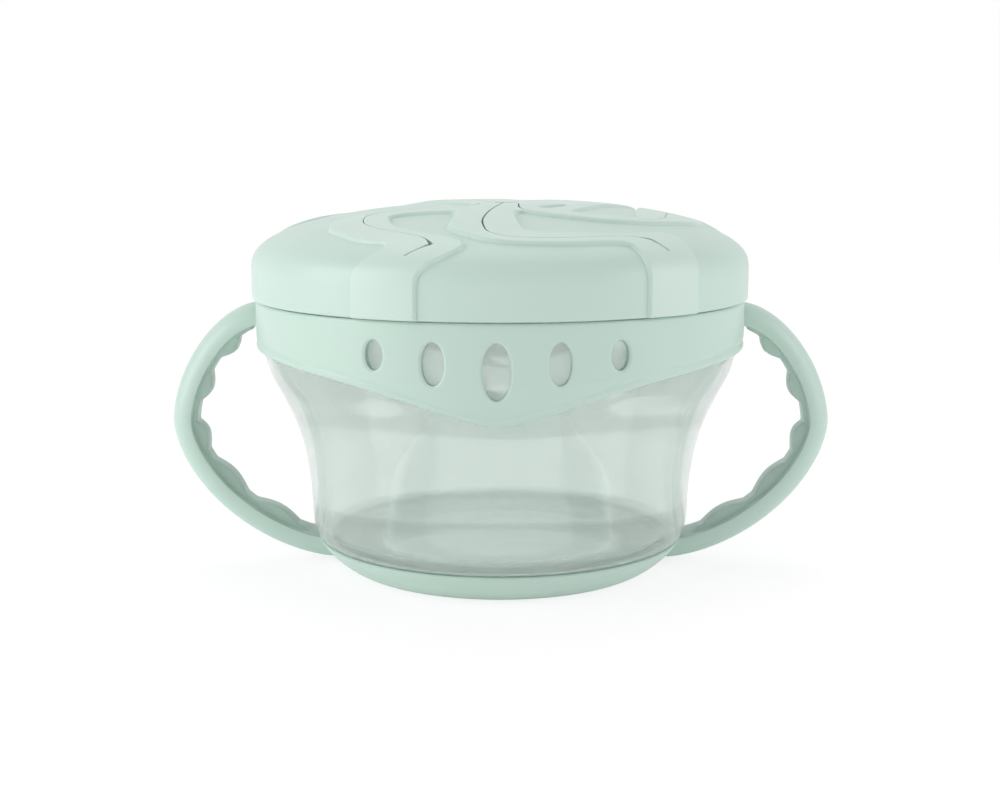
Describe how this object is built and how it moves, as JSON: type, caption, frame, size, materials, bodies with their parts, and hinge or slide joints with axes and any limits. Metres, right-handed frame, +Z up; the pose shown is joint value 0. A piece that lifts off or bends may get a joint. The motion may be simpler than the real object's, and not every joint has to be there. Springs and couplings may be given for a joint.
{
  "type": "snack container",
  "caption": "Two-handled snack container for toddlers: clear flared cup in a mint frame, with a domed lid of slit flaps that a small hand pushes in.",
  "frame": {"origin": "centre of the base ring's underside, on the table", "axes": "+X along the two handles, -Y is the front with the pointed collar, +Z up along the cup's axis"},
  "size_m": [0.1514, 0.1128, 0.0832],
  "materials": {
    "mint_frame": "satin moulded polypropylene",
    "mint_lid": "satin moulded polypropylene, soft enough to bend at the flaps",
    "clear_cup": "polished clear polypropylene with a faint mint tint"
  },
  "bodies": {
    "frame": {"collar": "mint_frame", "base_ring": "mint_frame", "left_handle": "mint_frame", "right_handle": "mint_frame"},
    "cup": {"cup": "clear_cup"},
    "lid": {"lid_shell": "mint_lid"},
    "flap_1": {"flap_1": "mint_lid"},
    "flap_2": {"flap_2": "mint_lid"},
    "flap_3": {"flap_3": "mint_lid"},
    "flap_4": {"flap_4": "mint_lid"},
    "flap_5": {"flap_5": "mint_lid"}
  },
  "joints": [
    {"name": "cup_lift", "type": "slide", "parent": "frame", "child": "cup", "axis": [0, 0, 1], "range_m": [0, 0.062]},
    {"name": "lid_lift", "type": "slide", "parent": "cup", "child": "lid", "axis": [0, 0, 1], "range_m": [0, 0.025]},
    {"name": "flap_1_push", "type": "hinge", "parent": "lid", "child": "flap_1", "pos_m": [-0.0072, -0.04658, 0.07542], "axis": [-0.9417, -0.3363, 0], "range_deg": [0, 25], "stiffness_Nm_per_rad": 0.05},
    {"name": "flap_2_push", "type": "hinge", "parent": "lid", "child": "flap_2", "pos_m": [0.03159, -0.03089, 0.0762], "axis": [-0.0983, -0.9952, 0], "range_deg": [0, 25], "stiffness_Nm_per_rad": 0.05},
    {"name": "flap_3_push", "type": "hinge", "parent": "lid", "child": "flap_3", "pos_m": [0.03524, 0.02674, 0.07594], "axis": [0.8538, -0.5206, 0], "range_deg": [0, 25], "stiffness_Nm_per_rad": 0.05},
    {"name": "flap_4_push", "type": "hinge", "parent": "lid", "child": "flap_4", "pos_m": [-0.01199, 0.03948, 0.07677], "axis": [0.7809, 0.6247, 0], "range_deg": [0, 25], "stiffness_Nm_per_rad": 0.05},
    {"name": "flap_5_push", "type": "hinge", "parent": "lid", "child": "flap_5", "pos_m": [-0.03688, -0.00345, 0.07678], "axis": [-0.4519, 0.8921, 0], "range_deg": [0, 25], "stiffness_Nm_per_rad": 0.05}
  ]
}
